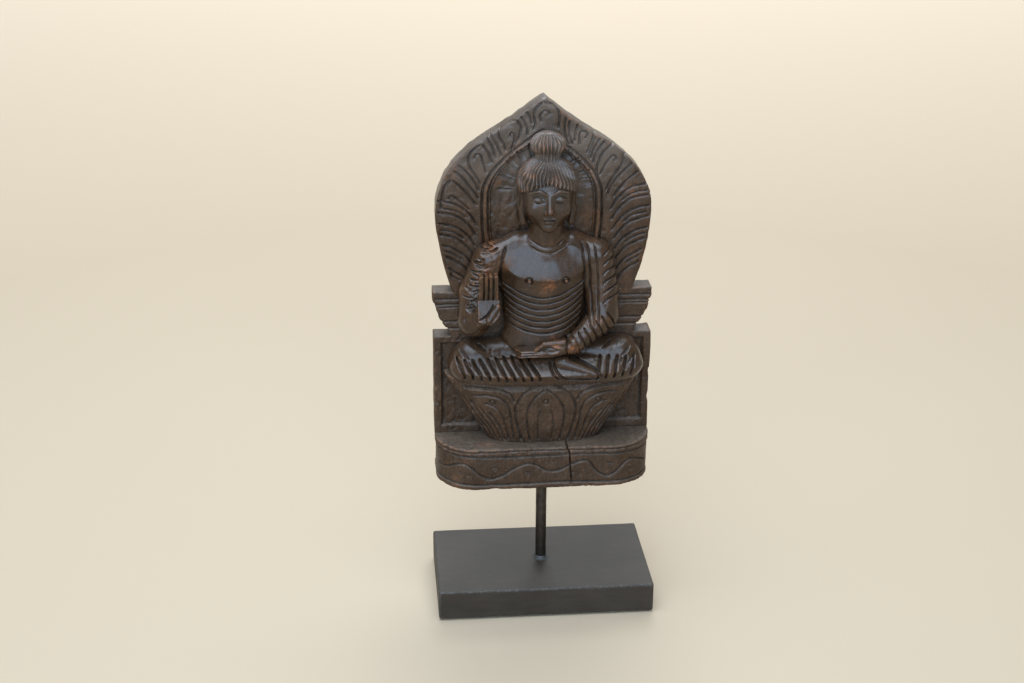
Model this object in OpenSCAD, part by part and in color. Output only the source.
// Seated figure carved from one block of wood, held on a painted base by a steel rod.
// Origin: centre of the underside of the feet. +Z is up and the figure faces -Y.
// The carving turns on its rod. Left and right are the figure's own.

/* [Stand] */
// Width of the wooden base
base_w = 127; // [126:1:150]
// Depth of the wooden base
base_d = 76; // [60:1:100]
// Thickness of the wooden base
base_h = 18; // [15:1:25]
// Chamfer that softens the edges of the base
base_chamfer = 1; // [0.5:0.1:2]
// Diameter of the steel rod
rod_d = 6.35; // [5:0.05:8]
// Free length of the rod between the base and the plinth
rod_gap = 58; // [30:1:80]
// Diameter of the bead of filler around the foot of the rod
fillet_d = 9.6; // [9:0.1:12]
// Height of that bead
fillet_h = 2; // [1:0.1:4]
// Depth of the recess under the base that holds the nut
recess_h = 9; // [8.5:0.5:11]
// Diameter of that recess
recess_d = 20; // [19:0.5:24]
// Diameter of the washer
washer_d = 18; // [14:0.5:18.5]
// Thickness of the washer
washer_t = 1.6; // [1:0.1:2]
// Nut size across its flats
nut_flats = 11.1; // [10:0.1:13]
// Nut height
nut_h = 5.6; // [4:0.1:6]
// Diameter of the felt feet
foot_d = 10; // [8:1:16]
// Thickness of the felt feet
foot_t = 1; // [0.5:0.1:3]
// Distance from the edges of the base to the centres of the feet
foot_inset = 10; // [9:1:20]

/* [Plinth] */
// Width of the carving
carving_w = 126; // [120:1:126]
// Height of the plinth
plinth_h = 26; // [25:0.5:32]
// How far the plinth reaches in front of the rod
plinth_front = 23; // [20:0.5:26]
// Radius of the rounded front corners of the plinth
plinth_corner = 24; // [20:1:26]
// Depth of the lines cut in the plinth
line_depth = 0.8; // [0.4:0.1:1.2]
// Width of the lines cut in the plinth and the panels
line_w = 1; // [0.6:0.1:1.4]
// Depth of the blind bore that takes the rod
bore_depth = 21; // [15:1:22]
// Radial running clearance between the rod and its bore
bore_clearance = 0.06; // [0.02:0.01:0.1]

/* [Back panel] */
// How far the face of the panel lies behind the rod
panel_y = 3; // [2:0.5:5]
// Thickness of the panel
panel_t = 13; // [10:0.5:16]
// Height of the throne's back above the plinth
throne_h = 61; // [58:1:66]
// Height of the rail across the throne
rail_h = 27; // [24:1:30]
// Height of the leaf-shaped aureole above the rail
aureole_h = 112; // [108:1:116]
// Greatest width of the aureole
aureole_w = 122; // [116:1:124]
// Width of the plain border round each sunk panel of the throne
border_w = 5; // [3:0.5:7]

/* [Lotus seat] */
// Height of the seat
lotus_h = 40; // [36:1:44]
// Width of the seat at its top
lotus_top_w = 116; // [108:1:120]
// Width of the seat at its foot
lotus_foot_w = 68; // [60:1:76]
// How far the top of the seat reaches in front of the panel
lotus_top_d = 24; // [22:0.5:26]
// How far the foot of the seat reaches in front of the panel
lotus_foot_d = 17; // [14:0.5:20]
// How far the petals stand out of the seat
petal_out = 1; // [0.6:0.1:1.6]

/* [Figure] */
// Height of the figure from the seat to the top of the topknot
figure_h = 145; // [140:1:150]
// Pitch of the folds across the robe
fold_pitch = 4; // [3.5:0.1:4.5]
// Thickness of the rounded folds
fold_r = 1.1; // [0.8:0.1:1.4]

/* [Hidden] */

$fn = 64;
rod_r = rod_d / 2;
base_top = foot_t + base_h;
plinth_z = base_top + rod_gap;
plinth_top = plinth_z + plinth_h;
seat_z = plinth_top + lotus_h;
rail_z = plinth_top + throne_h;
aureole_z = rail_z + rail_h;
panel_back = panel_y + panel_t;
half_w = carving_w / 2;
grow = figure_h / 145;
end_gap = 0.1;
eps = 0.01;

wood = [0.24, 0.18, 0.15];
worn_wood = [0.33, 0.23, 0.17];
steel = [0.12, 0.11, 0.11];
zinc = [0.62, 0.62, 0.6];
paint = [0.22, 0.22, 0.21];
felt = [0.08, 0.08, 0.08];

// ---- Curves ----

// Points of a cubic curve between a and d, without the first one
function curve(a, b, c, d, steps = 8) = [
    for (i = [1:steps])
        let (t = i / steps, s = 1 - t)
            s * s * s * a + 3 * s * s * t * b + 3 * s * t * t * c + t * t * t * d
];

// A half outline joined to its mirror image in x
function mirrored(half) = concat(half, [for (i = [len(half) - 1:-1:0]) [-half[i][0], half[i][1]]]);

// Unit normal of a path at point i
function normal(path, i) =
    let (
        a = path[max(i - 1, 0)],
        b = path[min(i + 1, len(path) - 1)],
        v = (b - a) / norm(b - a)
    ) [-v[1], v[0]];

// Outline of a line of width w along a path
function line_outline(path, w) = concat(
    [for (i = [0:len(path) - 1]) path[i] + normal(path, i) * w / 2],
    [for (i = [len(path) - 1:-1:0]) path[i] - normal(path, i) * w / 2]
);

function flip_x(path) = [for (p = path) [-p[0], p[1]]];

// A shape drawn in x and z, pushed back from y by depth
module upright(y, depth) {
    translate([0, y + depth, 0])
        rotate([90, 0, 0])
            linear_extrude(depth)
                children();
}

// ---- Stand ----

module base_block() {
    color(paint)
    difference() {
        chamfered_box([base_w, base_d, base_h], base_chamfer, foot_t);
        translate([0, 0, foot_t - 1])
            cylinder(r = rod_r, h = base_h + 2);
        translate([0, 0, foot_t - 1])
            cylinder(d = recess_d, h = recess_h + 1);
    }
}

// A box with every edge chamfered, standing at height z
module chamfered_box(size, c, z) {
    hull() {
        translate([-size[0] / 2 + c, -size[1] / 2 + c, z])
            cube([size[0] - 2 * c, size[1] - 2 * c, size[2]]);
        translate([-size[0] / 2, -size[1] / 2 + c, z + c])
            cube([size[0], size[1] - 2 * c, size[2] - 2 * c]);
        translate([-size[0] / 2 + c, -size[1] / 2, z + c])
            cube([size[0] - 2 * c, size[1], size[2] - 2 * c]);
    }
}

washer_z = foot_t + recess_h - washer_t;
nut_z = washer_z - nut_h;
rod_z = nut_z - 0.6;
rod_top = plinth_z + bore_depth - end_gap;

module rod() {
    bevel = 0.5;
    color(steel)
    rotate_extrude()
        polygon([
            [0, rod_z],
            [rod_r - bevel, rod_z],
            [rod_r, rod_z + bevel],
            [rod_r, rod_top - bevel],
            [rod_r - bevel, rod_top],
            [0, rod_top]
        ]);
}

module rod_fillet() {
    r = fillet_d / 2;
    color(steel)
    rotate_extrude()
        polygon([
            [rod_r, base_top],
            [r, base_top],
            [r - 0.2, base_top + fillet_h * 0.35],
            [(r + rod_r) / 2, base_top + fillet_h * 0.75],
            [rod_r + 0.15, base_top + fillet_h],
            [rod_r, base_top + fillet_h]
        ]);
}

module washer() {
    color(zinc)
    translate([0, 0, washer_z])
        difference() {
            cylinder(d = washer_d, h = washer_t);
            translate([0, 0, -1])
                cylinder(r = rod_r, h = washer_t + 2);
        }
}

module nut() {
    color(zinc)
    translate([0, 0, nut_z])
        difference() {
            cylinder(d = nut_flats / cos(30), h = nut_h, $fn = 6);
            translate([0, 0, -1])
                cylinder(r = rod_r, h = nut_h + 2);
        }
}

module foot_pad(i) {
    x = (i % 2 == 0 ? -1 : 1) * (base_w / 2 - foot_inset);
    y = (i < 2 ? -1 : 1) * (base_d / 2 - foot_inset);
    color(felt)
    translate([x, y, 0])
        cylinder(d = foot_d, h = foot_t);
}

// ---- Plinth ----

// Plan of the plinth, straight at the back and rounded at the front corners
module plinth_plan(inset) {
    w = half_w - inset;
    r = plinth_corner - inset;
    front = plinth_front - inset;
    polygon(mirrored(concat(
        [[w, panel_back], [w, r - front]],
        [for (a = [0:7.5:90]) [w - r + r * cos(a), r - front - r * sin(a)]]
    )));
}

// The skin of the plinth that a cut line takes away
module plinth_skin() {
    translate([0, 0, plinth_z - 1])
        linear_extrude(plinth_h + 2)
            difference() {
                plinth_plan(-1);
                plinth_plan(line_depth);
            }
}

// A line that runs level round the front of the plinth
module plinth_line(height) {
    translate([-half_w - 2, -plinth_front - 2, plinth_z + height])
        cube([carving_w + 4, plinth_front + panel_y, line_w]);
}

// The winding stem across the front of the plinth
module plinth_vine() {
    waves = 3.25;
    swing = 4.6;
    reach = half_w - 5;
    path = [
        for (i = [0:52])
            let (t = i / 52)
                [-reach + 2 * reach * t, plinth_z + 12.6 + swing * sin(360 * waves * t - 30)]
    ];
    upright(-plinth_front - 2, plinth_front)
        polygon(line_outline(path, line_w * 1.1));
}

module plinth() {
    color(wood)
    difference() {
        translate([0, 0, plinth_z])
            linear_extrude(plinth_h)
                plinth_plan(0);
        intersection() {
            plinth_skin();
            union() {
                plinth_line(2.6);
                plinth_line(plinth_h - 5.6);
                plinth_vine();
            }
        }
        translate([0, 0, plinth_z - 1])
            cylinder(r = rod_r + bore_clearance, h = bore_depth + 1);
    }
}

// ---- Back panel ----

module throne_back() {
    sink = 1.6;
    window_w = 26;
    color(wood)
    difference() {
        translate([-half_w, panel_y, plinth_top])
            cube([carving_w, panel_t, throne_h]);
        for (side = [-1, 1])
            translate([
                side * (half_w - border_w) - (side > 0 ? window_w : 0),
                panel_y - 1,
                plinth_top + border_w
            ])
                cube([window_w, sink + 1, throne_h - 2 * border_w]);
    }
}

module throne_rail() {
    outline = mirrored(concat(
        [[half_w - 10, 0], [half_w - 9.5, 2.5]],
        curve([half_w - 9.5, 2.5], [half_w - 7, 6], [half_w - 2.5, 8], [half_w - 1, 13]),
        [[half_w - 0.6, rail_h - 7], [half_w, rail_h - 5.5], [half_w, rail_h]]
    ));
    color(wood)
    difference() {
        translate([0, 0, rail_z])
            upright(panel_y, panel_t)
                polygon(outline);
        for (height = [4, rail_h - 12, rail_h - 8.5])
            translate([-half_w - 1, panel_y - 1, rail_z + height])
                cube([carving_w + 2, 1 + line_depth, line_w]);
    }
}

// Outline of the aureole: bowed flanks that turn up into a point
function aureole_outline() =
    let (w = aureole_w / 2, h = aureole_h)
        mirrored(concat(
            [[w - 9.5, 0]],
            curve([w - 9.5, 0], [w - 5, 11], [w, 30], [w, 46]),
            curve([w, 46], [w, 67], [w - 14, h - 31], [w - 36, h - 18.5]),
            curve([w - 36, h - 18.5], [w - 45, h - 13], [w - 54, h - 6], [0.5, h])
        ));

// One side of the pointed arch round the head
function arch_path(inset) =
    let (w = 35 - inset, top = aureole_h - 17 - inset)
        concat(
            [[w - 3, 24]],
            curve([w - 3, 24], [w - 0.5, 36], [w, 48], [w - 2, 62], 6),
            curve([w - 2, 62], [w - 7, 72], [10, top - 8], [1, top], 8)
        );

// A petal outline of the given length that ends in a round head
function petal_path(length, width) = concat(
    [[-width * 0.3, 0]],
    curve([-width * 0.3, 0], [-width * 0.2, length * 0.4], [-width * 0.9, length], [0, length]),
    curve([0, length], [width * 0.9, length], [width * 0.2, length * 0.4], [width * 0.3, 0])
);

// The hook that curls inside a petal
function hook_path(length, width) =
    let (foot = [-width * 0.1, length * 0.1], top = [0, length * 0.8])
        concat(
            [foot],
            curve(foot, [0, length * 0.5], [-width * 0.4, length * 0.8], top, 6),
            [[width * 0.12, length * 0.66]]
        );

// A ray that fans out over the lower flank
function ray_path(i) =
    let (rise = 12 + 5.5 * i)
        curve([35, rise - 1], [44, rise + 1], [51, rise + 6], [56, rise + 14], 7);

// Where the petals stand: distance out, height and lean
petals = [[21.5, 83, -28], [35.5, 70.5, -38], [47, 49, -52]];

module aureole_lines() {
    for (side = [0, 1])
        mirror([side, 0, 0]) {
            for (inset = [0, 3])
                polygon(line_outline(arch_path(inset), line_w));
            for (p = petals)
                translate([p[0], p[1]])
                    rotate(p[2]) {
                        polygon(line_outline(petal_path(14, 9), line_w * 0.9));
                        polygon(line_outline(hook_path(14, 9), line_w * 0.9));
                    }
            for (i = [0:6])
                polygon(line_outline(ray_path(i), line_w * 0.9));
        }
    translate([0, aureole_h - 15])
        polygon(line_outline(petal_path(11, 9), line_w * 0.9));
}

module aureole() {
    color(wood)
    translate([0, 0, aureole_z])
        difference() {
            upright(panel_y, panel_t)
                polygon(aureole_outline());
            upright(panel_y - 1, 1 + line_depth)
                aureole_lines();
        }
}

// ---- Lotus seat ----

// Plan of the seat: a bow of the given width and reach in front of the panel
module seat_plan(width, reach) {
    w = width / 2;
    polygon(mirrored(concat(
        [[w, panel_y], [w, panel_y - reach * 0.35]],
        curve([w, panel_y - reach * 0.35], [w - 4, panel_y - reach], [w * 0.5, panel_y - reach],
              [0.5, panel_y - reach])
    )));
}

// The tapering body of the seat, grown outward by out
module seat_body(out) {
    hull() {
        translate([0, 0, plinth_top])
            linear_extrude(eps)
                seat_plan(lotus_foot_w + 2 * out, lotus_foot_d + out);
        translate([0, 0, seat_z - 3])
            linear_extrude(3)
                seat_plan(lotus_top_w + 2 * out, lotus_top_d + out);
    }
}

// One upright petal with a bowed outline and a pointed tip
module seat_petal(x, width) {
    tip = lotus_h - 1;
    w = width / 2;
    translate([x, 0, plinth_top])
        upright(-plinth_front - 8, plinth_front + 8)
            polygon(mirrored(concat(
                [[w * 0.55, 0], [w * 0.7, 4]],
                curve([w * 0.7, 4], [w * 1.1, tip * 0.35], [w * 1.15, tip * 0.75], [0.4, tip])
            )));
}

module lotus_seat() {
    color(wood) {
        seat_body(0);
        intersection() {
            seat_body(petal_out);
            union() {
                seat_petal(0, 32);
                for (side = [-1, 1]) {
                    seat_petal(side * 27, 20);
                    seat_petal(side * 44, 12);
                }
            }
        }
    }
}

// ---- Figure ----

// An ellipsoid with the radii r, placed from the middle of the seat's top
module blob(at, r) {
    translate([at[0], at[1], seat_z + at[2] * grow])
        scale(r)
            sphere(r = 1, $fn = 16);
}

// A limb between two ellipsoids
module limb(a, ra, b, rb) {
    hull() {
        blob(a, ra);
        blob(b, rb);
    }
}

// A rounded cord through a list of points
module fold(points, r) {
    for (i = [0:len(points) - 2])
        hull()
            for (p = [points[i], points[i + 1]])
                translate([p[0], p[1], seat_z + p[2] * grow])
                    sphere(r = r, $fn = 8);
}

// What lies in front of the panel and above the seat
module carved_region() {
    intersection() {
        children();
        translate([-half_w, panel_y - 60, seat_z])
            cube([carving_w, 60, figure_h + 10]);
    }
}

// Folds wrapped round the front of a limb from a to b whose radii are ra and rb
module wraps(a, ra, b, rb, count, lean = 0) {
    axis = (b - a) / norm(b - a);
    side = cross(axis, [0, 1, 0]) / norm(cross(axis, [0, 1, 0]));
    front = cross(side, axis);
    for (i = [0:count - 1]) {
        t = count > 1 ? i / (count - 1) : 0;
        middle = a + (b - a) * t;
        r = ra + (rb - ra) * t;
        fold([
            for (angle = [-80:40:80])
                middle + r * (side * sin(angle) - front * cos(angle)) + axis * lean * sin(angle)
        ], fold_r);
    }
}

knee_x = 44;

module legs_shape() {
    for (side = [-1, 1]) {
        limb([side * 18, -3, 11], [13, 12, 11], [side * knee_x, -8, 10], [12, 12, 11]);
        limb([side * knee_x, -10, 8], [13.5, 12, 9], [side * 16, -12.5, 7], [13, 11, 8]);
        limb([side * 16, -12.5, 6.5], [13, 11, 8], [0, -12, 5], [12, 11, 7]);
        for (i = [0:6])
            shin_fold(side, 13 + 6 * i);
    }
    limb([9, -20, 9.5], [5.5, 4.5, 4.5], [28, -22, 5], [4, 3, 2.8]);
}

// A fold that slants over the front of a shin, x out from the middle
module shin_fold(side, x) {
    past_knee = max(0, x - knee_x) / 13.5;
    r = sqrt(1 - past_knee * past_knee);
    fold([
        for (angle = [70:-30:-50])
            [
                side * (x + 3 * sin(-angle)),
                -12.5 + 0.05 * x - 11.2 * r * cos(angle),
                7.5 + 8.7 * r * sin(angle)
            ]
    ], fold_r);
}

module legs() {
    color(wood)
    carved_region()
        legs_shape();
}

module torso_shape() {
    limb([0, 2, 14], [27, 14, 12], [0, 1, 34], [24, 14, 12]);
    limb([0, 1, 34], [24, 14, 12], [0, 0, 60], [28, 15, 14]);
    limb([0, 0, 60], [28, 15, 14], [0, 1, 68], [30, 12, 11]);
    limb([-23, 1, 70], [9, 9, 10], [23, 1, 70], [9, 9, 10]);
    limb([-15, 1, 76], [9, 9, 8], [15, 1, 76], [9, 9, 8]);
    limb([0, -1, 72], [15, 11, 10], [0, -2, 86], [9, 8.5, 8]);
}

// Folds that hang across the belly in rounded bows
module robe_folds() {
    for (i = [0:6])
        fold([
            for (a = [-75:25:75])
                [21.5 * sin(a), 0.5 - 14 * cos(a), 53 - fold_pitch * i - 9 * cos(a)]
        ], fold_r * 0.8);
}

module torso() {
    color(wood)
    difference() {
        carved_region() {
            torso_shape();
            robe_folds();
        }
        legs_shape();
    }
}

module head_shape() {
    limb([0, -3, 114], [14, 12, 13], [0, -5, 98], [10, 8.5, 10]);
    limb([0, -14, 105], [1.6, 3, 5], [0, -15, 100], [2.4, 2.6, 1.8]);
    for (side = [-1, 1]) {
        limb([side * 14, 0, 112], [2, 3.5, 4], [side * 14, 0, 98], [1.8, 3, 4]);
        blob([side * 5.5, -12, 108], [3.4, 2.6, 1.8]);
    }
    limb([-3, -13.5, 95.5], [1.8, 2, 1.3], [3, -13.5, 95.5], [1.8, 2, 1.3]);
    blob([0, -11, 91], [3.6, 3, 2.6]);
}

module head() {
    color(wood)
    difference() {
        carved_region()
            head_shape();
        torso_shape();
    }
}

module hair_shape() {
    intersection() {
        limb([0, -2, 115], [17, 14.5, 15], [0, -1, 117], [15, 13, 14]);
        translate([-30, -30, seat_z + 113 * grow])
            cube([60, 60, 40]);
    }
    for (i = [-4:4])
        fold([
            for (a = [-10:20:70])
                [
                    3.9 * i * cos(a * 0.9),
                    -2 - 14.5 * cos(a) * cos(12 * i),
                    117 + 14 * sin(a)
                ]
        ], fold_r);
}

module hair_cap() {
    color(wood)
    difference() {
        carved_region()
            hair_shape();
        head_shape();
    }
}

module topknot_shape() {
    limb([0, -2, 130], [6, 5.5, 4], [0, -2, 138.5], [9, 8, 5.5]);
    for (a = [0:30:330])
        fold([
            [5.6 * cos(a), -2 + 5 * sin(a), 131],
            [8.8 * cos(a), -2 + 7.8 * sin(a), 138],
            [5 * cos(a), -2 + 4.6 * sin(a), 142.4]
        ], fold_r * 0.8);
}

module topknot() {
    color(worn_wood)
    difference() {
        carved_region()
            topknot_shape();
        hair_shape();
    }
}

module right_arm_shape() {
    limb([-30, -1, 70], [8.5, 9, 9], [-38.5, -3, 50], [9.5, 10, 10]);
    limb([-38.5, -3, 50], [9.5, 10, 10], [-40, -7, 33], [9, 11, 9]);
    limb([-40, -7, 33], [9, 11, 9], [-34, -15, 37], [6.5, 6.5, 8]);
    wraps([-31, -2, 69], 8.4, [-40, -6, 38], 9.6, 6, 2);
}

module right_arm() {
    color(wood)
    difference() {
        carved_region()
            right_arm_shape();
        torso_shape();
        robe_folds();
        legs_shape();
    }
}

module right_hand_shape() {
    limb([-33, -18, 42], [6, 4.2, 6], [-33, -18.5, 52], [5.6, 3.6, 4]);
    for (i = [0:3])
        limb(
            [-37.4 + 2.9 * i, -20, 52], [1.7, 2.2, 2],
            [-37.2 + 2.8 * i, -21, 65 - abs(i - 1.5)], [1.6, 1.9, 1.6]
        );
    limb([-36, -21, 38], [2.4, 2.2, 2.4], [-28.5, -21.5, 45], [2, 2, 2.2]);
}

module right_hand() {
    color(worn_wood)
    difference() {
        carved_region()
            right_hand_shape();
        right_arm_shape();
        torso_shape();
        robe_folds();
        legs_shape();
    }
}

module left_arm_shape() {
    limb([29, -1, 70], [9, 9, 9], [32, -3, 50], [9, 10, 9]);
    limb([32, -3, 50], [9, 10, 9], [33, -7, 35], [9, 10, 9]);
    limb([33, -7, 35], [9, 10, 9], [17, -16, 22], [6.5, 6, 6]);
    wraps([30, -2, 69], 8.8, [33, -5, 42], 9.4, 6, -2);
    wraps([32, -8, 33], 9.4, [18, -15, 23], 6.2, 5, 1.5);
}

module left_arm() {
    color(wood)
    difference() {
        carved_region()
            left_arm_shape();
        torso_shape();
        robe_folds();
        legs_shape();
    }
}

module left_hand_shape() {
    limb([12, -18, 21], [5, 4.5, 4], [-1, -19, 20.5], [6, 5, 3.4]);
    for (i = [0:3])
        limb(
            [-3, -22 + 2.8 * i, 20], [2.4, 1.8, 1.8],
            [-16 + abs(i - 1.5), -21.5 + 2.7 * i, 20], [1.8, 1.6, 1.5]
        );
    limb([5, -22, 23], [2.4, 2.2, 2.2], [-4, -21, 25], [2, 1.9, 1.8]);
}

module left_hand() {
    color(worn_wood)
    difference() {
        carved_region()
            left_hand_shape();
        left_arm_shape();
        torso_shape();
        robe_folds();
        legs_shape();
    }
}

// ---- Assembly ----

base_block();
rod();
rod_fillet();
washer();
nut();
for (i = [0:3])
    foot_pad(i);
plinth();
throne_back();
throne_rail();
aureole();
lotus_seat();
legs();
torso();
head();
hair_cap();
topknot();
right_arm();
right_hand();
left_arm();
left_hand();
